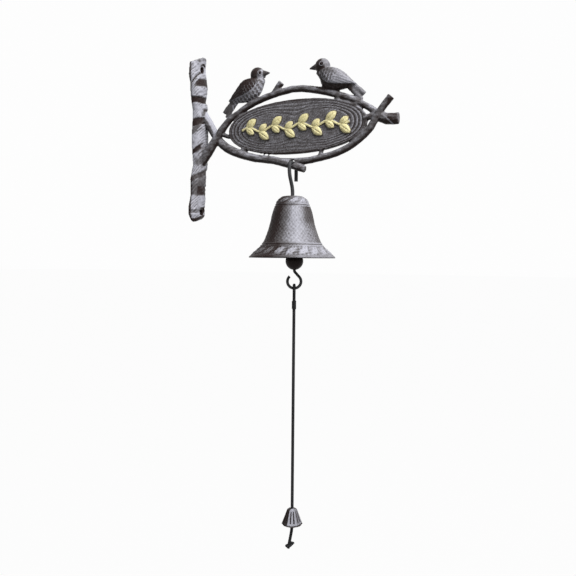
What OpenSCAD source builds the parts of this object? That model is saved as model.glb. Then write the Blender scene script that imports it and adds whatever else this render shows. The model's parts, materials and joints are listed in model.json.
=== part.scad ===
// Cast-iron wall bell with a branch bracket and a pull cord.
// Frame: the origin lies on the wall, midway between the two screw holes.
// +X points out of the wall along the sign, +Z is up and -Y is the front of the sign.

/* [Log] */
// Distance between the two screw holes
screw_pitch = 148; // [142:1:156]
// Diameter of each screw hole
screw_d = 5; // [4:0.5:6]
// Diameter of the flat seat round each screw hole
seat_d = 10; // [9:0.5:12]
// Height of the screw seats above the wall
seat_h = 5.6; // [5:0.2:6.4]
// Length of log beyond each screw hole
log_over = 9.5; // [8:0.5:12]
// Width of the log at its widest
log_w = 31; // [28:1:34]
// How far the log stands out from the wall
log_t = 10; // [9:0.5:12]
// Rise of the slanting ends for each millimetre across the log
log_slant = 0.45; // [0.3:0.05:0.6]

/* [Sign] */
// Distance from the wall to the middle of the wood slice
slice_x = 113; // [110:1:118]
// Height of the slice's middle above the screw holes' middle
slice_z = 6.5; // [4:0.5:10]
// Length of the wood slice
slice_l = 147; // [140:1:152]
// Height of the wood slice
slice_h = 52.5; // [50:0.5:56]
// Thickness of the wood slice
slice_t = 5; // [4:0.5:6]
// Depth of the growth rings cut into both faces
ring_deep = 0.5; // [0.3:0.1:0.8]
// Length of the raised sprig
sprig_l = 114; // [100:1:120]
// Height of the raised sprig
sprig_h = 20; // [16:0.5:22]
// How far the sprig stands proud of each face
sprig_t = 1.2; // [0.8:0.1:1.6]

/* [Branches] */
// Distance from the slice's middle to the cut end of the thick branch
stub_reach = 103.4; // [102:0.5:108]
// Thickness of the arch branch over the slice
arch_d = 6.8; // [6:0.2:8]
// Thickness of the branch that rises from the log to the hook hole
root_d = 8; // [7.2:0.2:8.6]
// Thickness of the branch under the right half of the slice
bow_d = 6.8; // [6:0.2:7.4]
// How far crossing branches lie in front of or behind the sign's middle plane
weave = 1.6; // [1:0.2:2]

/* [Birds] */
// Length of each bird from its beak to the end of its tail
bird_l = 54; // [48:1:58]

/* [Hook] */
// Diameter of the hook's wire
wire_d = 3.6; // [3.2:0.2:4]
// Diameter of the hook hole through the crossing branches
hook_hole_d = 5.4; // [5:0.2:5.8]
// Distance from the slice's lower edge down to the hook hole's middle
hole_drop = 8.1; // [7.5:0.1:8.7]
// Distance between the hook's two legs
leg_gap = 16; // [15.5:0.5:18]
// Length of the short rear leg below the crest
short_leg = 17; // [14:0.5:20]
// Distance from the hook hole's middle down to the bell's crown
bell_drop = 33; // [30:0.5:38]
// Radius of the closed eye inside the bell, to the middle of the wire
eye_r = 4.5; // [4.2:0.1:5]
// Sideways offset of the eye from the shank
eye_shift = 2.6; // [1.5:0.1:3]

/* [Bell] */
// Diameter of the bell's mouth
mouth_d = 85; // [80:1:92]
// Height of the bell from crown to lip
bell_h = 60.5; // [56:0.5:66]
// Wall thickness of the bell
bell_wall = 2.6; // [2.2:0.1:3]
// Diameter of the hole in the bell's crown
crown_hole_d = 4.6; // [4.4:0.1:5]

/* [Clapper] */
// Diameter of the clapper's wire
rod_d = 2.8; // [2.4:0.1:3]
// Diameter of the clapper ball
ball_d = 17.5; // [16:0.5:19]
// Distance of the ball's middle below the bell's lip
ball_drop = 3; // [2:0.5:4]
// Radius of the clapper's closed loop, to the middle of the wire
loop_r = 4; // [3.9:0.1:4.4]
// Radius of the open hook under the ball, to the middle of the wire
tail_r = 6.7; // [6:0.1:7.5]
// Distance from the ball's underside to the open hook's middle
tail_drop = 11.4; // [11:0.1:13]
// Turn of the open hook about the upright
tail_turn = 25; // [0:5:45]

/* [Pull] */
// Diameter of the pull cord
cord_d = 3; // [2.6:0.2:3]
// Width of the pull weight's foot across its corners
weight_d = 21.4; // [19:0.5:24]
// Width of the pull weight's top across its corners
weight_top_d = 10; // [8:0.5:12]
// Height of the pull weight
weight_h = 15.4; // [14:0.5:18]
// Diameter of the cord's bore through the weight
bore_d = 3.6; // [3.4:0.1:4]
// Diameter of each knot
knot_d = 7.6; // [7:0.2:8]

/* [Hidden] */

// Running clearance between pieces that hang in each other
gap = 0.3;
// Smoothness of round faces
$fn = 48;
// Clearance that lets a cut pass through a face
past = 1;
// Straight wires run this far into a bend, whose wire is thicker by the ease
lap = 0.2;
ease = 0.02;
// Slack round the cord where thread or a knot holds it
snug = 0.1;

// Colours of the finishes
dark_iron = [0.22, 0.2, 0.2];
pewter = [0.3, 0.29, 0.3];
black_wire = [0.12, 0.12, 0.12];
black_cord = [0.08, 0.08, 0.08];

// Half length of the log, and the inner side of the slice's rim
log_half = screw_pitch / 2 + log_over;
stub_r = 5.4;

// Hook hole in the sign, and the middle of the wire that rests in it
hole_x = slice_x - 2;
hole_z = slice_z - slice_h / 2 - hole_drop;
crest_z = hole_z - (hook_hole_d - wire_d) / 2 + gap;

// Bell, eye and clapper stack below the hook
crown_z = hole_z - bell_drop;
mouth_z = crown_z - bell_h;
eye_x = hole_x + eye_shift;
eye_z = crown_z - bell_wall - gap - wire_d / 2 - eye_r;
pivot_z = eye_z - eye_r + wire_d / 2 + gap + rod_d / 2;
ball_z = mouth_z - ball_drop;
tail_z = ball_z - ball_d / 2 - tail_drop;
cord_z = tail_z - tail_r;

// Route of the pull cord from the end of its folded loop to its lower end, in millimetres.
// Each point is [sideways, back, height] from the foot of the open hook, before its turn.
cord_route = [[0, 1.7, -23], [0, 1.7, -18], [0, 1.8, -12], [0, 2.6, -6], [0, 3.3, -2],
    [0, 2.9, 1.6], [0, 1.6, 2.9], [0, 0, 3.3], [0, -1.6, 2.9], [0, -2.9, 1.6],
    [0, -3.3, -2], [0, -2.6, -6], [0, -1.8, -12], [0, -1.7, -18], [0, -1.6, -25],
    [0, -1, -33], [0, -0.4, -42], [0, 0, -52], [0, 0, -70], [0, 0, -95], [0, 0, -120],
    [0, 0, -145], [0, 0, -170], [0, 0, -195], [0, 0, -215], [0, 0, -230], [0, 0, -238],
    [-0.3, 0, -243], [-1.1, 0, -248], [-2, 0, -253], [-2.9, 0, -258], [-3.8, 0, -263]];
seizing_z = [-12.5, -20.5];
weight_z = -237;
end_knot_at = [-3.2, 0, -260];
knot_h = knot_d * 0.6;

// Recess under the weight, the flutes on its facets and the dome on its top
recess_h = knot_d * 0.7;
recess_gap = 2;
flute_d = 1.8;
flute_gap = 2.7;
dome_sink = 3;

// The closed eye's wire is a little thicker than the shank
eye_wire = wire_d + 0.16;

function unit(v) = v / norm(v);

// Point at fraction t of stretch i of a smooth curve through the points P
function spline_at(P, i, t) =
    let (
        last = len(P) - 1,
        a = P[max(i - 1, 0)],
        b = P[i],
        c = P[min(i + 1, last)],
        d = P[min(i + 2, last)]
    )
    (2 * b + (c - a) * t + (2 * a - 5 * b + 4 * c - d) * t * t
        + (3 * b - 3 * c + d - a) * t * t * t) / 2;

// Smooth curve through the points P, with a number of steps between each pair
function spline(P, steps) = concat(
    [for (i = [0:len(P) - 2], s = [0:steps - 1]) spline_at(P, i, s / steps)],
    [P[len(P) - 1]]);

// Solid skin over a row of rings with equal counts of points
module skin(rings) {
    n = len(rings[0]);
    last = len(rings) - 1;
    walls = [for (i = [0:last - 1], k = [0:n - 1])
        let (a = i * n + k, b = i * n + (k + 1) % n)
        each [[a, b, b + n], [a, b + n, a + n]]];
    first_cap = [for (k = [1:n - 2]) [0, k + 1, k]];
    last_cap = [for (k = [1:n - 2]) [last * n, last * n + k, last * n + k + 1]];
    polyhedron([for (ring = rings) each ring], concat(walls, first_cap, last_cap), convexity = 8);
}

// Rounded limb through stations [x, z, y, half height in the sign's plane, half thickness]
module limb(stations, steps = 2, sides = 10) {
    path = spline(stations, steps);
    last = len(path) - 1;
    skin([for (i = [0:last])
        let (
            s = path[i],
            ahead = path[min(i + 1, last)] - path[max(i - 1, 0)],
            along = unit([ahead[0], 0, ahead[1]]),
            across = [-along[2], 0, along[0]]
        )
        [for (k = [0:sides - 1])
            let (a = 360 * k / sides)
            [s[0], s[2], s[1]] + across * s[3] * cos(a) + [0, s[4] * sin(a), 0]]]);
}

// Station of a round limb beside the slice, at an angle round it and a distance outside its rim
function beside(angle, out, y, r) = [
    slice_x + (slice_l / 2 + out) * cos(angle),
    slice_z + (slice_h / 2 + out) * sin(angle),
    y, r, r];

// Station of a round limb at a place measured from the slice's middle
function from_slice(x, z, y, r) = [slice_x + x, slice_z + z, y, r, r];

// Half-round bark log that screws to the wall, both ends cut at a slant.
// Each row is [place along its half length, front side, rear side, height], as shares of the full size.
log_rows = [[-0.995, 0.78, 0.54, 0.62], [-0.89, 1.06, 0.6, 0.72], [-0.78, 1.05, 0.62, 0.74],
    [-0.64, 0.82, 0.66, 0.82], [-0.45, 0.86, 0.72, 0.86], [-0.28, 0.56, 0.8, 0.98], [-0.12, 0.64, 0.84, 1],
    [0.06, 0.7, 0.86, 1], [0.24, 0.64, 0.84, 1], [0.4, 0.58, 0.82, 0.94], [0.52, 0.74, 0.76, 0.8],
    [0.66, 0.86, 0.82, 0.96], [0.78, 0.9, 0.68, 0.82], [0.88, 1.06, 0.62, 0.7], [1.03, 0.94, 0.6, 0.74]];

module log_plate() {
    across = 12;
    crown_power = 0.8;
    // The lower end is cut less steeply than the upper one
    function slant(share) = log_slant * (0.65 + 0.35 * share);
    rows = spline(log_rows, 2);
    skin([for (row = rows)
        [for (k = [across:-1:0])
            let (
                a = 180 * k / across,
                side = a < 90 ? row[1] : row[2],
                y = -cos(a) * side * log_w / 2
            )
            [pow(sin(a), crown_power) * row[3] * log_t, y, row[0] * log_half + y * slant(row[0])]]]);
}

// Wood slice with growth rings on both faces
function slice_outline(inset) =
    let (points = 44, power = 0.93)
    [for (k = [0:points - 1])
        let (c = cos(360 * k / points), s = sin(360 * k / points))
        [sign(c) * pow(abs(c), power) * (slice_l / 2 - inset),
            sign(s) * pow(abs(s), power) * (slice_h / 2 - inset)]];

module wood_slice() {
    ring_inset = 3.6;
    ring_w = 0.9;
    translate([slice_x, 0, slice_z]) rotate([90, 0, 0]) difference() {
        linear_extrude(slice_t, center = true) polygon(slice_outline(0));
        for (side = [-1, 1])
            translate([0, 0, side * slice_t / 2]) linear_extrude(2 * ring_deep, center = true) difference() {
                polygon(slice_outline(ring_inset));
                polygon(slice_outline(ring_inset + ring_w));
            }
    }
}

// Raised sprig: a waving stem with a large leaf outside each bend and a small one inside it
module leaf(l, w) {
    r = (l * l + w * w) / (4 * w);
    intersection() {
        translate([l / 2, r - w / 2]) circle(r, $fn = 28);
        translate([l / 2, w / 2 - r]) circle(r, $fn = 28);
    }
}

module sprig_outline() {
    bends = 8;
    pitch = sprig_l / bends;
    stem_w = 2.6;
    leaf_l = sprig_h * 0.7;
    leaf_w = sprig_h * 0.34;
    leaf_turn = 36;
    small = 0.8;
    function stem(x) = sprig_h * 0.13 * sin(180 * x / pitch);
    xs = [for (k = [0:bends * 4]) k * pitch / 4 - sprig_l / 2];
    polygon(concat([for (x = xs) [x, stem(x) + stem_w / 2]],
        [for (k = [len(xs) - 1:-1:0]) [xs[k], stem(xs[k]) - stem_w / 2]]));
    for (i = [0:bends - 1], side = [-1, 1])
        let (
            x = (i + 0.3) * pitch - sprig_l / 2,
            size = side == (i % 2 == 0 ? 1 : -1) ? 1 : small
        )
        translate([x, stem(x)]) rotate(side * leaf_turn) leaf(leaf_l * size, leaf_w * size);
}

module sprig() {
    translate([slice_x, 0, slice_z]) rotate([90, 0, 0])
        linear_extrude(slice_t + 2 * sprig_t, center = true) sprig_outline();
}

// Branches
module arch_branch() {
    r = arch_d / 2;
    front = -weave;
    limb([
        [2, slice_z - 32, front, 6, 5],
        [11, slice_z - 22.5, front, 5.6, 4.6],
        [slice_x - 93, slice_z - 11.5, front, 4.9, 4.2],
        beside(177, 9.6, front, r + 0.6),
        beside(156, 6.2, front / 2, r),
        beside(143, 5.1, 0, r),
        beside(131, 6.5, 0, r),
        beside(114, 8.2, 0, r),
        beside(92, 10.5, 0, r),
        beside(78, 8.8, 0, r),
        beside(62, 6.3, 0, r),
        beside(43, 5.1, 0, r - 0.2),
        beside(31, 5.2, weave / 2, r - 0.2),
        beside(18, 7.5, weave, r - 0.1),
        from_slice(83, 4.6, weave, r + 1.2),
        from_slice(92, 0, weave / 2, stub_r),
        [slice_x + stub_reach, slice_z - 0.6, 0, stub_r, 3.6]]);
}

module arch_twig() {
    limb([
        from_slice(-25, 33.5, 0, 2.4),
        from_slice(-21, 38, 0, 2.8),
        from_slice(-15, 44.5, 0, 3.4)], 2);
}

module root_branch() {
    r = root_d / 2;
    limb([
        [3, slice_z + 24, weave, 6.6, 4.4],
        [13, slice_z + 12, weave, 5.2, 4.2],
        [slice_x - 91, slice_z - 2, weave, 4.4, 4],
        beside(196, 13, weave, r + 0.7),
        beside(209, 9.9, weave / 2, r + 0.6),
        beside(219.5, 7.9, 0, r + 0.5),
        beside(229, 7.1, 0, r + 0.2),
        beside(238, 6.7, 0, r),
        beside(253, 6.1, 0, r),
        beside(261, 8.1, -0.8, r),
        beside(267, 10.2, -0.9, r - 0.1),
        from_slice(11.5, -42, -1, 3.5)]);
}

module bow_branch() {
    r = bow_d / 2;
    limb([
        beside(257, 6.4, 1, r),
        beside(266, 7.3, 1.2, r + 0.4),
        beside(272, 7.3, 1, r + 0.4),
        beside(282, 7.6, 0, r),
        beside(298, 7.2, 0, r),
        beside(307, 6.8, 0, r),
        beside(316.5, 6, 0, r),
        beside(330, 5, -weave / 2, r),
        beside(346.5, 5.7, -weave, r + 0.2),
        from_slice(84, 4.5, -weave, r + 0.1),
        from_slice(90, 12.2, -weave, r),
        from_slice(96.3, 19.5, -weave, r + 0.2)]);
}

// Short stubs that tie the slice to the branches
module ties() {
    limb([beside(190, -3, 0, 2.6), beside(188, 2, 0, 2.2), beside(182, 8, 0, 2.4)], 2, 8);
    limb([beside(52, -3, 0, 3), beside(54, 4, 0, 3)], 2, 8);
    limb([beside(36, -3, 0, 2.6), beside(34, 4, 0, 2.6)], 2, 8);
    limb([from_slice(70, 2, 0, 3.6), from_slice(77, 3.4, 0, 3), from_slice(84, 4, 0, 3)], 2, 8);
    limb([beside(295, -3, 0, 2), beside(289, 6, 0, 2.2)], 2, 8);
    limb([beside(222, -4, 0, 3), beside(221, 5, 0, 3)], 2, 8);
    limb([beside(326, -3, 0, 2.4), beside(328, 4, 0, 2.4)], 2, 8);
}

// Bird that faces +X. Its origin is the foot of its belly.
module bird() {
    full_l = 54;
    // Body stations: distance from the tail's root, half height, half width
    lean = 24.6;
    root = [-21, 1.5];
    body = [[0, 1.6, 1.8], [5, 4.2, 4.2], [11, 7.4, 6.2], [17, 9.7, 7.4], [23, 10.7, 8],
        [29, 10.4, 7.9], [35, 8.4, 6.8], [40, 5, 4.6], [42.8, 1.4, 1.4]];
    // Wing stations: place and height in the sign's plane, distance to the side, half height, half thickness
    wing = [[10, 18.5, 5.4, 2, 1.6], [6, 16.2, 6.8, 5.4, 2], [0, 12.8, 7.5, 7.2, 2.1], [-7, 9, 6.7, 6.2, 2],
        [-14, 5.6, 4.9, 4, 1.8], [-20, 2.8, 3.1, 1.8, 1.6], [-23, 1.4, 2.4, 0.5, 1.2]];
    upper_tail = [[-18, 2.4, 0, 2.2, 2], [-22, -1.2, 0, 2.6, 1.8], [-26, -5, 0, 2.7, 1.6],
        [-30, -9.4, 0, 2.2, 1.4]];
    lower_tail = [[-15, 1, 0, 2.2, 2], [-20, -4.6, 0, 2.7, 1.8], [-23.6, -9.4, 0, 2.6, 1.6],
        [-27, -14.2, 0, 2.1, 1.4]];
    head_r = 7.5;
    head_at = [8.9, 0, 25.2];
    beak_at = [14.2, 0, 26];
    beak_l = 8.4;
    beak_r = 3.7;
    beak_tip_r = 0.6;
    scale(bird_l / full_l) {
        limb([for (b = body) [b[0] * cos(lean) + root[0], b[0] * sin(lean) + root[1], 0, b[1], b[2]]], 2, 12);
        for (side = [-1, 1]) limb([for (w = wing) [w[0], w[1], side * w[2], w[3], w[4]]], 2, 8);
        limb(upper_tail, 1, 8);
        limb(lower_tail, 1, 8);
        translate(head_at) sphere(head_r, $fn = 18);
        translate(beak_at) rotate([0, 91, 0]) cylinder(h = beak_l, r1 = beak_r, r2 = beak_tip_r, $fn = 12);
    }
}

// Places its children over the arch, moved by a shift and with their tail raised by a turn
module perched(angle, out, shift, turn) {
    at = beside(angle, out, 0, 1);
    translate([at[0] + shift[0], 0, at[1] + shift[1]]) rotate([0, turn, 0]) children();
}

// One casting: everything is joined first, with no size changed, and then drilled
module casting() {
    resize([0, 0, 0]) difference() {
        union() {
            log_plate();
            wood_slice();
            sprig();
            arch_branch();
            arch_twig();
            root_branch();
            bow_branch();
            ties();
            perched(129, 6.6, [0, 4], 0) bird();
            perched(62.5, 6.3, [3, 1.8], -6) mirror([1, 0, 0]) bird();
        }
        translate([-2 * log_t, -log_w, -log_w]) cube([2 * log_t, 2 * log_w, 4 * log_w]);
    }
}

module bracket() {
    color(dark_iron) difference() {
        casting();
        for (side = [-1, 1]) translate([0, 0, side * screw_pitch / 2]) rotate([0, 90, 0]) {
            translate([0, 0, -past]) cylinder(h = log_t + 2 * past, d = screw_d);
            translate([0, 0, seat_h]) cylinder(h = log_t, d = seat_d);
        }
        translate([hole_x, 0, hole_z]) rotate([90, 0, 0])
            cylinder(h = 4 * root_d, d = hook_hole_d, center = true);
    }
}

// Wire bent through the points P, with a bend radius for each inner point
module bent_wire(P, radii, d) {
    last = len(P) - 1;
    // How much of a straight the bend at point i takes
    function taken(i) = i == 0 || i == last ? 0
        : let (a = unit(P[i] - P[i - 1]), b = unit(P[i + 1] - P[i]))
        radii[i - 1] * tan(acos(min(1, a * b)) / 2);
    for (i = [0:last - 1]) {
        dir = unit(P[i + 1] - P[i]);
        from = P[i] + dir * (i == 0 ? 0 : taken(i) - lap);
        to = P[i + 1] - dir * (i + 1 == last ? 0 : taken(i + 1) - lap);
        rod(from, to, d);
    }
    for (i = [1:last - 1]) {
        a = unit(P[i] - P[i - 1]);
        b = unit(P[i + 1] - P[i]);
        inward = unit(b - a * (a * b));
        normal = cross(inward * -1, a);
        r = radii[i - 1];
        centre = P[i] - a * taken(i) + inward * r;
        multmatrix([
            [-inward[0], a[0], normal[0], centre[0]],
            [-inward[1], a[1], normal[1], centre[1]],
            [-inward[2], a[2], normal[2], centre[2]],
            [0, 0, 0, 1]])
            rotate_extrude(angle = acos(a * b)) translate([r, 0]) circle(d = d + ease);
    }
}

// Straight rod between two points
module rod(from, to, d) {
    v = to - from;
    translate(from) rotate([0, acos(v[2] / norm(v)), atan2(v[1], v[0])]) cylinder(h = norm(v), d = d);
}

// Closed ring of wire that stands upright and faces along +X
module upright_ring(r, d) {
    rotate([0, 90, 0]) rotate_extrude() translate([r, 0]) circle(d = d);
}

// Hook: short rear leg, crest in the drilled hole, front leg, shank and closed eye
module bell_hook() {
    y = leg_gap / 2;
    bend = 3.6;
    // The front leg leans in between these shares of the drop to the bell
    lean_from = 0.34;
    lean_to = 0.77;
    lean_r = 18;
    color(black_wire) {
        bent_wire([
            [hole_x, y, crest_z - short_leg],
            [hole_x, y, crest_z],
            [hole_x, -y, crest_z],
            [hole_x, -y, crest_z - bell_drop * lean_from],
            [hole_x, 0, crest_z - bell_drop * lean_to],
            [hole_x, 0, eye_z + sqrt(eye_r * eye_r - eye_shift * eye_shift)]],
            [bend, bend, lean_r, lean_r], wire_d);
        translate([eye_x, 0, eye_z]) rotate(90) upright_ring(eye_r, eye_wire);
    }
}

// Bell profile: shares of the mouth's radius and of the height, from the crown down
bell_curve = [[0.235, 0.004], [0.29, 0.03], [0.345, 0.08], [0.4, 0.15], [0.462, 0.27], [0.52, 0.45],
    [0.585, 0.6], [0.66, 0.73], [0.76, 0.83], [0.87, 0.905], [0.97, 0.965]];

module bell() {
    curve = spline([for (p = bell_curve) [p[0] * mouth_d / 2, -p[1] * bell_h]], 2);
    last = len(curve) - 1;
    lip_h = bell_wall * 0.46;
    lip_w = bell_wall * 1.4;
    ceiling_turn = bell_wall * 0.6;
    // Inner side: the outer one moved in by the wall, down to the lip
    inner = [for (i = [1:last])
        let (
            v = unit(curve[min(i + 1, last)] - curve[i - 1]),
            p = curve[i] + [v[1], -v[0]] * bell_wall
        )
        if (p[1] > lip_h / 2 - bell_h) p];
    color(pewter) translate([hole_x, 0, crown_z]) difference() {
        rotate_extrude() polygon(concat(
            [[0, -bell_wall], [0, 0]],
            curve,
            [[mouth_d / 2, lip_h - bell_h], [mouth_d / 2, -bell_h], [mouth_d / 2 - lip_w, -bell_h]],
            [for (i = [len(inner) - 1:-1:0]) inner[i]],
            [[inner[0][0] - ceiling_turn, -bell_wall]]));
        translate([0, 0, -4 * bell_wall]) cylinder(h = 5 * bell_wall, d = crown_hole_d);
    }
}

// Clapper wire: closed loop in the eye, shank through the ball, open hook
module clapper_rod() {
    // Places on the open hook, in degrees round it: where the shank joins it, and its tip
    lean = 42;
    tip = 132;
    bend = 3;
    neck = tail_r / sin(lean);
    foot_out = tail_r * cos(lean) + lap * sin(lean);
    foot_up = tail_r * sin(lean) - lap * cos(lean);
    foot = [foot_out * cos(tail_turn), foot_out * sin(tail_turn), tail_z + foot_up];
    color(black_wire) translate([eye_x, 0, 0]) {
        translate([0, 0, pivot_z - loop_r]) upright_ring(loop_r, rod_d);
        bent_wire([[0, 0, pivot_z - 2 * loop_r], [0, 0, tail_z + neck], foot], [bend], rod_d);
        translate([0, 0, tail_z]) rotate([90, 0, tail_turn]) rotate(tip)
            rotate_extrude(angle = 360 + lean - tip) translate([tail_r, 0]) circle(d = rod_d + ease);
    }
}

module clapper_ball() {
    color(dark_iron) translate([eye_x, 0, ball_z]) difference() {
        sphere(d = ball_d);
        cylinder(h = 2 * ball_d, d = rod_d, center = true);
    }
}

// Places its children at the foot of the open hook, turned with it
module on_tail() {
    translate([eye_x, 0, cord_z]) rotate(tail_turn) children();
}

module pull_cord() {
    sides = 8;
    last = len(cord_route) - 1;
    color(black_cord) on_tail() skin([for (i = [0:last])
        let (
            at = cord_route[i],
            along = unit(cord_route[min(i + 1, last)] - cord_route[max(i - 1, 0)]),
            side = unit(cross(along, [1, 0, 0])),
            across = cross(along, side)
        )
        [for (k = [0:sides - 1])
            let (a = 360 * k / sides)
            at + (side * cos(a) + across * sin(a)) * cord_d / 2]]);
}

// Thread wound round both legs of the cord's loop
module cord_seizing() {
    spread = 1.7;
    thread = 0.5;
    hole_d = cord_d + 2 * snug;
    h = seizing_z[0] - seizing_z[1];
    color(black_cord) on_tail() translate([0, 0, seizing_z[1]]) difference() {
        linear_extrude(h) union() {
            for (y = [-spread, spread]) translate([0, y]) circle(d = hole_d + 2 * thread);
            square([hole_d + 2 * thread, 2 * spread], center = true);
        }
        for (y = [-spread, spread]) translate([0, y, -past]) cylinder(h = h + 2 * past, d = hole_d);
    }
}

// Six-sided cone with two flutes down each facet and a recess for the knot that carries it
module pull_weight() {
    flat = weight_d / 2 * cos(30);
    lean = atan((weight_d - weight_top_d) / 2 * cos(30) / weight_h);
    dome_r = weight_top_d * 0.42;
    flute_out = flute_d * 0.18;
    color(pewter) on_tail() translate([0, 0, weight_z]) difference() {
        union() {
            cylinder(h = weight_h, d1 = weight_d, d2 = weight_top_d, $fn = 6);
            translate([0, 0, weight_h - dome_sink]) sphere(dome_r);
        }
        cylinder(h = 3 * weight_h, d = bore_d, center = true);
        translate([0, 0, -past]) cylinder(h = recess_h + past, d = knot_d + recess_gap);
        for (turn = [0:60:300], y = [-flute_gap, flute_gap]) rotate(turn + 30)
            translate([flat + flute_out, y, -past]) rotate([0, -lean, 0])
            cylinder(h = 1.3 * weight_h, d = flute_d);
    }
}

// Knot round the cord: a rounded lump with a way through for the cord
module knot(h) {
    swell = 0.6;
    rotate_extrude() difference() {
        intersection() {
            translate([swell, 0]) circle(d = knot_d);
            translate([0, -h / 2]) square([knot_d, h]);
        }
        translate([0, -h]) square([cord_d / 2 + snug, 2 * h]);
    }
}

// The stop knot bears on the ceiling of the weight's recess
module stop_knot() {
    color(black_cord) on_tail() translate([0, 0, weight_z + recess_h - knot_h / 2]) knot(knot_h);
}

module end_knot() {
    tilt = 10;
    color(black_cord) on_tail() translate(end_knot_at) rotate([0, tilt, 0]) knot(knot_h);
}

bracket();
bell_hook();
bell();
clapper_rod();
clapper_ball();
pull_cord();
cord_seizing();
pull_weight();
stop_knot();
end_knot();
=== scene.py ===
"""Looks of a cast-iron wall bell: bark, birds, painted sprig, hammered bell, cord and light."""

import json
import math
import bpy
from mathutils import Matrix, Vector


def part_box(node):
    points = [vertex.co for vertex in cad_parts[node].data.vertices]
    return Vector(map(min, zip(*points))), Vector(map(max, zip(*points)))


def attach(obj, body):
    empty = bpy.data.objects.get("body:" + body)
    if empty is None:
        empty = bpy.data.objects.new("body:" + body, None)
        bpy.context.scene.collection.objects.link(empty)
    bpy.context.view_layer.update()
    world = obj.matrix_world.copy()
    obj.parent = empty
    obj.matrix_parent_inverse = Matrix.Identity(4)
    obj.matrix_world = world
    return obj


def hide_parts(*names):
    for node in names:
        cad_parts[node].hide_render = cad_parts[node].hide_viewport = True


bl_info = {
    "name": "Branch Wall Bell",
    "version": (1, 0, 0),
    "blender": (4, 5, 0),
    "location": "View3D > Sidebar > Wall Bell",
    "description": "Dresses the packed wall bell in cast iron, painted relief, wire and cord",
    "category": "Object",
}

import bpy
import numpy as np
from mathutils import Matrix, Vector, noise

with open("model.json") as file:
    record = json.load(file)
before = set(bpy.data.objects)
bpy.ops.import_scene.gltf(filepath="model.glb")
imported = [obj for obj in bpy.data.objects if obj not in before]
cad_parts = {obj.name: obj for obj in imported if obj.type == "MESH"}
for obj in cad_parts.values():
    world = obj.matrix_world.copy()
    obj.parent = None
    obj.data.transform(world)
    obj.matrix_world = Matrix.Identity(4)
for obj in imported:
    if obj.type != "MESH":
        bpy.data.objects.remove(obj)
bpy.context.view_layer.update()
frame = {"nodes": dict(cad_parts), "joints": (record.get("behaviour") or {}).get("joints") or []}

MM = 0.001


# Working with objects


def clear_selection():
    """Leave edit mode and select nothing."""
    if bpy.context.mode != "OBJECT":
        bpy.ops.object.mode_set(mode="OBJECT")
    bpy.ops.object.select_all(action="DESELECT")


def take(*pieces):
    """Select these pieces and make the first one active."""
    clear_selection()
    for piece in pieces:
        piece.select_set(True)
    bpy.context.view_layer.objects.active = pieces[0]
    return pieces[0]


def named(name):
    """Name the piece that an operator has just added."""
    piece = bpy.context.object
    piece.name = name
    piece.data.name = name
    return piece


def settle(piece):
    """Bring a piece's place, turn and scale into its mesh."""
    take(piece)
    bpy.ops.object.transform_apply(location=True, rotation=True, scale=True)
    return piece


def modified(piece, kind, **settings):
    """Add one modifier to a piece and apply it."""
    take(piece)
    modifier = piece.modifiers.new(kind.title(), kind)
    for name, value in settings.items():
        setattr(modifier, name, value)
    bpy.ops.object.modifier_apply(modifier=modifier.name)
    return piece


def joined(pieces, name):
    """Join pieces into the first one."""
    take(*pieces)
    if len(pieces) > 1:
        bpy.ops.object.join()
    return named(name)


def meshed(piece):
    """Turn a curve into a mesh."""
    take(piece)
    bpy.ops.object.convert(target="MESH")
    return bpy.context.object


def rope(name, route, thickness, order=3, along=6, around=4):
    """A round cord or rod along points in the row frame."""
    clear_selection()
    bpy.ops.curve.primitive_nurbs_path_add()
    piece = named(name)
    spline = piece.data.splines[0]
    spline.points.add(len(route) - len(spline.points))
    for point, place in zip(spline.points, route):
        point.co = (*place, 1.0)
    spline.use_endpoint_u = True
    spline.order_u = order
    piece.data.dimensions = "3D"
    piece.data.resolution_u = along
    piece.data.bevel_depth = thickness / 2
    piece.data.bevel_resolution = around
    piece.data.use_fill_caps = True
    return piece


def smooth(piece, angle=None):
    """Shade a piece smooth, all over or below an angle in degrees."""
    take(piece)
    if angle is None:
        bpy.ops.object.shade_smooth()
    else:
        bpy.ops.object.shade_smooth_by_angle(angle=math.radians(angle))
    return piece


def merged(piece, threshold=0.01 * MM, outwards=True):
    """Merge doubles and, where asked, point all faces outwards."""
    take(piece)
    bpy.ops.object.mode_set(mode="EDIT")
    bpy.ops.mesh.select_all(action="SELECT")
    bpy.ops.mesh.remove_doubles(threshold=threshold)
    if outwards:
        bpy.ops.mesh.normals_make_consistent(inside=False)
    bpy.ops.object.mode_set(mode="OBJECT")
    return piece


def copy_of_node(node, name):
    """A merged copy of a CAD node's mesh, ready to be worked on."""
    piece = bpy.data.objects.new(name, frame["nodes"][node].data.copy())
    bpy.context.scene.collection.objects.link(piece)
    piece.data.materials.clear()
    return merged(piece, 0.002 * MM, outwards=False)


def points_of(piece):
    """A piece's points as rows of numbers, in millimetres."""
    flat = np.empty(len(piece.data.vertices) * 3)
    piece.data.vertices.foreach_get("co", flat)
    return flat.reshape(-1, 3) / MM


def normals_of(piece):
    """The direction in which each point of a piece faces."""
    flat = np.empty(len(piece.data.vertices) * 3)
    piece.data.vertex_normals.foreach_get("vector", flat)
    return flat.reshape(-1, 3)


def put_points(piece, points):
    """Move a piece's points to rows of numbers in millimetres."""
    piece.data.vertices.foreach_set("co", (points * MM).ravel())
    piece.data.update()


def noise_at(points, size, seed):
    """Smooth noise from -1 to 1 at each point, with features of a size in millimetres."""
    shift = Vector((seed, 2 * seed, 3 * seed))
    return np.array([noise.noise(Vector(p) / size + shift) for p in points])


def keep_value(piece, name, values):
    """Store one number per point, for a material to read."""
    layer = piece.data.attributes.new(name, "FLOAT", "POINT")
    layer.data.foreach_set("value", values.astype(np.float32))


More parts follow.
